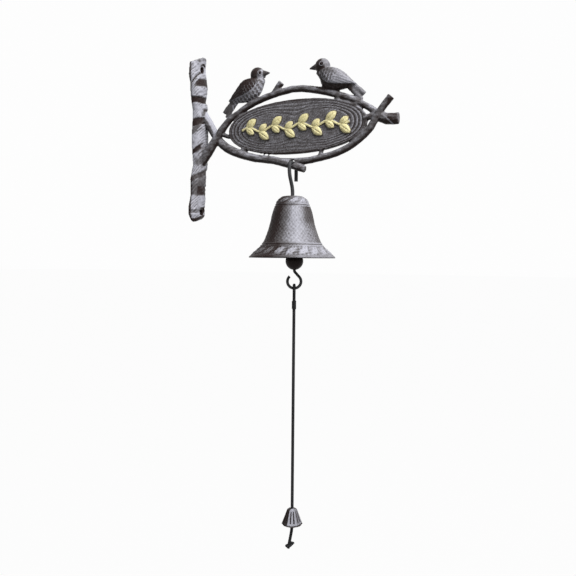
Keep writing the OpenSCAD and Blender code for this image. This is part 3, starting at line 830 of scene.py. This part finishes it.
class WALLBELL_OT_bell(bpy.types.Operator):
    """Turn the bell and work its hammered body and leaf bands"""

    bl_idname = "wallbell.bell"
    bl_label = "Bell"

    def execute(self, context):
        look = context.scene.wallbell_look
        size = context.scene.wallbell_sizes
        low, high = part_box("bell")
        middle = (low + high) / 2
        profile = self.profile(size, (high.x - low.x) / 2 / MM, (high.z - low.z) / MM)
        clear_selection()
        bpy.ops.mesh.primitive_circle_add(vertices=3, radius=1)
        piece = named("bell_body")
        piece.data.clear_geometry()
        edges = [(k, k + 1) for k in range(len(profile) - 1)]
        piece.data.from_pydata([(r * MM, 0, -d * MM) for r, d in profile], edges, [])
        modified(
            piece, "SCREW", axis="Z", angle=2 * math.pi, steps=size.bell_steps, render_steps=size.bell_steps,
            use_merge_vertices=True, merge_threshold=0.00002, use_smooth_shade=True,
        )
        merged(piece)
        points = points_of(piece)
        normals = normals_of(piece)
        radius = np.hypot(points[:, 0], points[:, 1])
        angle = np.arctan2(points[:, 1], points[:, 0])
        facing = normals[:, 0] * np.cos(angle) + normals[:, 1] * np.sin(angle) + 0.6 * normals[:, 2]
        outside = step(-0.1, 0.2, facing) * step(6.5, 8.0, radius)
        relief, tone = bell_relief(angle, -points[:, 2], points)
        points += normals * (relief * outside)[:, None]
        keep_value(piece, "tone", np.where(outside > 0.5, tone, 0.3))
        points += np.array([middle.x, middle.y, high.z]) / MM
        put_points(piece, points)
        smooth(piece)
        finish_piece(piece, cast_iron("iron_bell", look, 0.0, 1100.0, 0.3), "bell", ["bell"])
        return {"FINISHED"}

    @staticmethod
    def profile(size, mouth, height):
        """Outer side from the crown hole to the lip, and back up inside."""
        wall = size.bell_wall / MM
        hole = size.crown_hole / MM / 2
        rows = curved([(share * mouth, depth * height) for share, depth in BELL_CURVE], size.bell_rows)
        slope = np.gradient(rows, axis=0)
        slope /= np.linalg.norm(slope, axis=1)[:, None]
        inner = (rows + np.stack([-slope[:, 1], slope[:, 0]], 1) * wall)[:: size.bell_rows // 3]
        inner = [tuple(r) for r in inner[::-1] if wall + 0.3 < r[1] < height - wall * 0.25]
        top = [(hole, 0.0), (hole + 2.5, 0.0), (hole + 5.0, 0.0)]
        lip = [(mouth - 0.15, height - 1.2), (mouth, height - 0.9), (mouth, height - 0.3), (mouth - 0.3, height)]
        lip.append((mouth - wall * 1.4, height))
        ceiling = [(inner[-1][0] - wall * 0.6, wall), (hole, wall), (hole, 0.0)]
        return top + [tuple(r) for r in rows] + lip + inner + ceiling


# Wires and clapper


class WALLBELL_OT_wires(bpy.types.Operator):
    """Finish the hook, the clapper's wire and its cast ball"""

    bl_idname = "wallbell.wires"
    bl_label = "Hook and clapper"

    def execute(self, context):
        look = context.scene.wallbell_look
        wire = black_wire(look)
        for node in ("bell_hook", "clapper_rod"):
            self.dress(node, wire)
        self.dress("clapper_ball", cast_iron("iron_ball", look, look.ball_tone, 1100.0, 0.4))
        return {"FINISHED"}

    @staticmethod
    def dress(node, material):
        """Give a CAD node a finish of its own."""
        piece = frame["nodes"][node]
        painted(piece, material)


# Cord, weight and knots


CORD_ROUTE = (
    (0, 1.7, -23), (0, 1.7, -18), (0, 1.8, -12), (0, 2.6, -6), (0, 3.3, -2),
    (0, 2.9, 1.6), (0, 1.6, 2.9), (0, 0, 3.3), (0, -1.6, 2.9), (0, -2.9, 1.6),
    (0, -3.3, -2), (0, -2.6, -6), (0, -1.8, -12), (0, -1.7, -18), (0, -1.6, -25),
    (0, -1, -33), (0, -0.4, -42), *((0, 0, z) for z in (-52, -70, -95, -120, -145, -170, -195, -215, -230, -238)),
    (-0.3, 0, -243), (-1.1, 0, -248), (-2, 0, -253), (-2.9, 0, -257.5), (-3.6, 0, -261.5),
)


# Turn of the weight's side painted lightest, as painted light on its facets
WEIGHT_LIGHT = math.radians(48.0)
PULL_JOINT = next(joint for joint in frame["joints"] if joint["name"] == "pull_swing")
PULL_TURN = math.atan2(PULL_JOINT["axis"][1], PULL_JOINT["axis"][0])


def on_tail(point):
    """A point by the foot of the open hook, in millimetres, in the row frame in metres."""
    return Matrix.Rotation(PULL_TURN, 3, "Z") @ (Vector(point) * MM) + Vector(PULL_JOINT["pos_m"])


class WALLBELL_OT_cord(bpy.types.Operator):
    """Hang the cord with its thread whipping, its weight and its knots"""

    bl_idname = "wallbell.cord"
    bl_label = "Cord and weight"

    def execute(self, context):
        look = context.scene.wallbell_look
        size = context.scene.wallbell_sizes
        cord_black = waxed_cord(look)
        route = [on_tail(p) for p in CORD_ROUTE]
        cord = rope("pull_cord_line", route, size.cord)
        finish_piece(cord, cord_black, "pull", ["pull_cord"])
        whipping = self.whipping(size)
        finish_piece(whipping, cord_black, "pull", ["cord_seizing"])
        weight = self.weight(size)
        weight_iron = cast_iron("iron_weight", look, 0.0, 1200.0, 0.25)
        finish_piece(weight, weight_iron, "pull", ["pull_weight"])
        end = self.end_knot(size)
        finish_piece(end, cord_black, "pull", ["end_knot"])
        stop = frame["nodes"]["stop_knot"]
        painted(stop, cord_black)
        return {"FINISHED"}

    @staticmethod
    def whipping(size):
        """Thread wound round both legs of the cord's loop."""
        turns = 13
        top = -12.6
        foot = -20.4
        around = 16
        route = []
        for k in range(turns * around + 1):
            angle = 2 * math.pi * k / around
            height = top + (foot - top) * k / (turns * around)
            swell = 1.0 + 0.02 * math.sin(5 * angle)
            route.append(on_tail((1.95 * swell * math.cos(angle), 3.45 * math.sin(angle), height)))
        return smooth(meshed(rope("thread_whipping", route, 0.62 * MM, along=2, around=2)))

    @staticmethod
    def weight(size):
        """Six-sided cone with two flutes down each face, dots at their feet and a domed top; its facets carry
        painted light and shade.
        """
        low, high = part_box("pull_weight")
        foot = Vector(((low.x + high.x) / 2, (low.y + high.y) / 2, low.z))
        clear_selection()
        bpy.ops.mesh.primitive_cylinder_add(vertices=216, radius=1, depth=1, end_fill_type="TRIFAN")
        piece = named("hex_weight")
        take(piece)
        bpy.ops.object.mode_set(mode="EDIT")
        for k in range(1, 60):
            bpy.ops.mesh.select_all(action="SELECT")
            bpy.ops.mesh.bisect(plane_co=(0, 0, -0.5 + k / 60), plane_no=(0, 0, 1))
        bpy.ops.object.mode_set(mode="OBJECT")
        points = points_of(piece) * MM
        angle = np.arctan2(points[:, 1], points[:, 0])
        tall = (high.z - low.z) / MM
        up = (points[:, 2] + 0.5) * tall
        share = np.clip(up / (size.weight_height / MM), 0, 1)
        wedge = math.pi / 3
        inside = np.mod(angle, wedge) - wedge / 2
        corner = (size.weight_width + (size.weight_top - size.weight_width) * share) / 2 / MM
        flat = corner * math.cos(wedge / 2)
        radius = np.minimum(flat / np.cos(inside), corner * 0.985)
        across = np.abs(flat * np.tan(inside)) / corner
        flute = ridge(across, 0.2, 0.06) * span(share, 0.16, 0.26, 0.86, 0.97)
        dots = ridge(across, 0.2, 0.055) * ridge(share, 0.15, 0.035)
        groove = ridge(share, 0.07, 0.03)
        relief = -0.8 * flute + 0.45 * dots - 0.25 * groove
        radius = radius + relief
        dome = 0.42 * size.weight_top / MM
        above = up - (size.weight_height / MM - 3.0)
        radius = np.where(up > size.weight_height / MM, np.sqrt(np.clip(dome**2 - above**2, 0.3, None)), radius)
        radius = np.where(np.hypot(points[:, 0], points[:, 1]) > 0.5, radius, 0.0)
        up += (1 - share) ** 6 * 0.45 * (1 - np.cos(6 * angle + math.pi)) * (radius > 0)
        out = np.stack([np.cos(angle + PULL_TURN) * radius, np.sin(angle + PULL_TURN) * radius, up], 1)
        put_points(piece, out + np.array(foot) / MM)
        # Painted light and shade: facets turned towards WEIGHT_LIGHT lighter, the others dark. The lowest tenth
        # is dark.
        side = np.cos(np.floor(angle / wedge + 0.001) * wedge + wedge / 2 + PULL_TURN + WEIGHT_LIGHT)
        lit = (0.05 + 0.95 * step(0.35, 0.95, side)) * step(0.0, 0.1, share)
        keep_value(piece, "tone", np.clip(lit * (1 + 1.1 * np.tanh(2.0 * relief)), 0.02, 1))
        room = 0.7 * size.knot
        bpy.ops.mesh.primitive_cylinder_add(vertices=64, radius=size.knot / 2 + MM, depth=2 * room, location=foot)
        recess = named("recess")
        modified(piece, "BOOLEAN", operation="DIFFERENCE", object=recess, solver="EXACT")
        take(recess)
        bpy.ops.object.delete()
        return smooth(piece, 40)

    @staticmethod
    def end_knot(size):
        """A half hitch whose short end sticks out sideways."""
        route = [
            (-2.3, 1.4, -255.2), (-0.9, 1.7, -256.3), (-0.2, -0.2, -257.7), (-1.8, -2.4, -258.2),
            (-4.4, -2.2, -258.8), (-5.8, 0.2, -259.3), (-4.4, 2.4, -259.6), (-1.8, 2.0, -259.0),
            (-0.6, 0.2, -258.0), (0.4, -0.4, -257.0), (1.7, -0.2, -255.4),
        ]
        knot = rope("end_hitch", [on_tail(p) for p in route], size.cord * 0.85)
        return smooth(meshed(knot))


# Stage


# What the lamps look at, and how far off they stand
LIT_MIDDLE = Vector((0.1, 0.0, -0.08))
LAMP_REACH = 1.1
FLOOR_SIZE = 60.0


class WALLBELL_OT_stage(bpy.types.Operator):
    """Set the camera, the pale floor and the studio light"""

    bl_idname = "wallbell.stage"
    bl_label = "Stage"

    def execute(self, context):
        shot = context.scene.wallbell_shot
        self.camera(context, shot)
        self.floor(shot)
        self.world(context, shot)
        for name in ("key", "fill", "top"):
            settings = [getattr(shot, f"{name}_{what}") for what in ("azimuth", "height", "power", "width")]
            self.lamp(f"{name}_light", *settings)
        context.scene.view_settings.view_transform = "Standard"
        return {"FINISHED"}

    @staticmethod
    def camera(context, shot):
        """The photograph's viewpoint: to the right of the sign's front, looking slightly down."""
        bpy.ops.object.camera_add(location=shot.camera_place)
        camera = bpy.context.object
        camera.name = "photo_camera"
        camera.data.lens = shot.camera_lens
        camera.data.sensor_width = 36.0
        turn, pitch = shot.camera_turn, shot.camera_pitch
        ahead = Vector((-math.sin(turn) * math.cos(pitch), math.cos(turn) * math.cos(pitch), math.sin(pitch)))
        aim = ahead.to_track_quat("-Z", "Y").to_matrix().to_4x4()
        roll = Matrix.Rotation(shot.camera_roll, 4, "Z")
        camera.matrix_world = Matrix.Translation(shot.camera_place) @ aim @ roll
        context.scene.camera = camera

    @staticmethod
    def floor(shot):
        """A wide pale floor well below the hanging cord."""
        clear_selection()
        bpy.ops.mesh.primitive_plane_add(size=FLOOR_SIZE, location=(0.1, 0, shot.floor_height))
        floor = named("pale_floor")
        finish = Finish("pale_floor", Roughness=0.9, Specular_IOR_Level=0.1)
        grain = finish.grain(30.0, 2.0)
        finish.give("Base Color", finish.blend(grain, tint(0.5, 0.5, 0.5), tint(0.53, 0.53, 0.53)))
        white = finish.node("Emission", None, {"Color": tint(1, 1, 1), "Strength": 1.0})
        seen = finish.node("LightPath", output="Is Camera Ray") + finish.node("LightPath", output="Is Glossy Ray")
        seen = seen + finish.node("LightPath", output="Is Transmission Ray")
        share = finish.mapped(seen, 0.0, 1.0, 0.0, shot.floor_white)
        shader = Term(finish.tree, finish.shader.outputs[0])
        mixed = finish.node("MixShader", None, {0: share, 1: shader, 2: white})
        finish.tree.links.new(mixed.socket, finish.tree.nodes["Material Output"].inputs["Surface"])
        floor.data.materials.append(finish.material)

    @staticmethod
    def world(context, shot):
        """A plain studio round, seen as white by the camera and in reflections."""
        world = context.scene.world or bpy.data.worlds.new("studio")
        context.scene.world = world
        world.use_nodes = True
        tree = world.node_tree
        tree.nodes.clear()
        output = tree.nodes.new("ShaderNodeOutputWorld")
        path = tree.nodes.new("ShaderNodeLightPath")
        seen = Term(tree, path.outputs["Is Camera Ray"]) + Term(tree, path.outputs["Is Glossy Ray"])
        seen = seen + Term(tree, path.outputs["Is Transmission Ray"])
        level = seen * (shot.backdrop_white - shot.world_level) + shot.world_level
        background = tree.nodes.new("ShaderNodeBackground")
        background.inputs["Color"].default_value = tint(1, 1, 1)
        feed(tree, background.inputs["Strength"], level)
        tree.links.new(background.outputs[0], output.inputs["Surface"])

    @staticmethod
    def lamp(name, azimuth, height, power, width):
        """A square soft light that looks at the middle of the bell."""
        out = math.cos(height)
        aim = Vector((math.sin(azimuth) * out, -math.cos(azimuth) * out, math.sin(height)))
        bpy.ops.object.light_add(type="AREA", location=LIT_MIDDLE + aim * LAMP_REACH)
        lamp = bpy.context.object
        lamp.name = name
        lamp.data.energy = power
        lamp.data.size = width
        lamp.rotation_euler = aim.to_track_quat("Z", "Y").to_euler()


# Settings


def number(name, description, default, **kind):
    """A plain number, or one of a given kind."""
    return bpy.props.FloatProperty(name=name, description=description, default=default, **kind)


def metres(name, description, default):
    """A length in metres."""
    return number(name, description, default, unit="LENGTH")


def degrees(name, description, turn):
    """An angle, written here in degrees."""
    return number(name, description, math.radians(turn), subtype="ANGLE")


def hue(name, description, default):
    """A colour."""
    return bpy.props.FloatVectorProperty(name=name, description=description, default=default, subtype="COLOR")


def spot(name, description, default):
    """A place in metres."""
    return bpy.props.FloatVectorProperty(
        name=name, description=description, default=default, size=len(default), unit="LENGTH"
    )


def whole(name, description, default):
    """A whole number."""
    return bpy.props.IntProperty(name=name, description=description, default=default)


class WallBellLook(bpy.types.PropertyGroup):
    """Colours and surface of the materials"""

    casting_voxel: metres("Casting grain", "Size of the casting's mesh", 0.00074)
    # Iron hollows also colour the painted shade, and Iron crests the painted highlights and lit sides.
    iron_deep: hue("Iron hollows", "Brown iron in the hollows", (0.02, 0.0125, 0.0115))
    iron_mid: hue("Iron", "Iron between the two", (0.108, 0.102, 0.106))
    iron_high: hue("Iron crests", "Bluish pewter where it is rubbed", (0.4, 0.4, 0.45))
    iron_shine: number("Iron shine", "Specular level of the iron", 0.1)
    iron_rough: number("Iron roughness", "Roughness of the iron", 0.42)
    ball_tone: number("Ball tone", "How much darker the clapper ball is", -0.36)
    wire_dark: hue("Wire", "Lacquered wire", (0.018, 0.018, 0.019))
    wire_light: hue("Rubbed wire", "Wire where it is rubbed", (0.08, 0.08, 0.084))
    paint_light: hue("Paint", "Cream gold paint", (0.82, 0.77, 0.45))
    paint_deep: hue("Worn paint", "Paint in its hollows", (0.52, 0.45, 0.21))
    cord_deep: hue("Cord", "Black cord", (0.008, 0.008, 0.0085))
    cord_high: hue("Cord strands", "Crests of the cord's strands", (0.04, 0.04, 0.042))


class WallBellSizes(bpy.types.PropertyGroup):
    """Sizes of the modelled pieces, as the frame has them"""

    slice_centre: spot("Slice centre", "Middle of the slice, out and up", (0.113, 0.0065))
    slice_thickness: metres("Slice thickness", "Thickness of the wood slice", 0.005)
    sprig_length: metres("Sprig length", "Length of the raised sprig", 0.114)
    sprig_height: metres("Sprig height", "Height of the raised sprig", 0.02)
    bell_wall: metres("Bell wall", "Wall thickness", 0.0026)
    crown_hole: metres("Crown hole", "Its diameter", 0.0046)
    bell_steps: whole("Bell steps", "Steps round the bell", 380)
    bell_rows: whole("Bell rows", "Rows between two stations", 12)
    cord: metres("Cord", "Thickness of the cord", 0.003)
    knot: metres("Knot", "Diameter of each knot", 0.0076)
    weight_height: metres("Weight height", "Height up to the shoulders", 0.0154)
    weight_width: metres("Weight width", "Across the corners of the weight's foot", 0.0214)
    weight_top: metres("Weight top", "Across the corners of the weight's top", 0.01)


class WallBellShot(bpy.types.PropertyGroup):
    """Camera, floor and light"""

    camera_place: spot("Camera place", "Where the camera stands", (0.3665, -0.5567, -0.1243))
    camera_lens: number("Lens", "Focal length in millimetres", 38.75)
    camera_turn: degrees("Turn", "How far the camera stands to the side", 25)
    camera_pitch: degrees("Pitch", "Tilt of the camera", -2.5)
    camera_roll: degrees("Roll", "Roll of the camera", 0.5)
    floor_height: metres("Floor", "Height of the floor", -0.75)
    floor_white: number("Floor white", "Plain white in the floor", 0.97)
    backdrop_white: number("Backdrop white", "Plain white behind", 0.984)
    world_level: number("Studio level", "Light from all round", 0.085)
    key_azimuth: degrees("Key turn", "Where the key light stands", 61)
    key_height: degrees("Key height", "How high it stands", 42)
    key_power: number("Key power", "Power in watts", 20.0)
    key_width: metres("Key width", "Width of its face", 0.7)
    fill_azimuth: degrees("Fill turn", "Where the fill light stands", 5)
    fill_height: degrees("Fill height", "How high it stands", 20)
    fill_power: number("Fill power", "Power in watts", 0.9)
    fill_width: metres("Fill width", "Width of its face", 0.9)
    top_azimuth: degrees("Top turn", "Where the top light stands", 40)
    top_height: degrees("Top height", "How high it stands", 80)
    top_power: number("Top power", "Power in watts", 2.4)
    top_width: metres("Top width", "Width of its face", 0.8)


# Panel


class WALLBELL_PT_panel(bpy.types.Panel):
    """Steps that dress the wall bell"""

    bl_idname = "WALLBELL_PT_panel"
    bl_label = "Wall Bell"
    bl_space_type = "VIEW_3D"
    bl_region_type = "UI"
    bl_category = "Wall Bell"

    def draw(self, context):
        for kind in OPERATORS:
            self.layout.operator(kind.bl_idname)


OPERATORS = (
    WALLBELL_OT_stage,
    WALLBELL_OT_cord,
    WALLBELL_OT_casting,
    WALLBELL_OT_sprig,
    WALLBELL_OT_bell,
    WALLBELL_OT_wires,
)
GROUPS = {"wallbell_look": WallBellLook, "wallbell_sizes": WallBellSizes, "wallbell_shot": WallBellShot}


def register():
    """Register every class and hang the settings on the scene."""
    for kind in (*GROUPS.values(), *OPERATORS, WALLBELL_PT_panel):
        bpy.utils.register_class(kind)
    for name, kind in GROUPS.items():
        setattr(bpy.types.Scene, name, bpy.props.PointerProperty(type=kind))


def unregister():
    """Take the settings and classes away again."""
    for name in GROUPS:
        delattr(bpy.types.Scene, name)
    for kind in reversed((*GROUPS.values(), *OPERATORS, WALLBELL_PT_panel)):
        bpy.utils.unregister_class(kind)


def main():
    """Run each step in order."""
    register()
    bpy.ops.wallbell.stage()
    bpy.ops.wallbell.cord()
    bpy.ops.wallbell.casting()
    bpy.ops.wallbell.sprig()
    bpy.ops.wallbell.bell()
    bpy.ops.wallbell.wires()
    clear_selection()


if __name__ == "__main__":
    main()
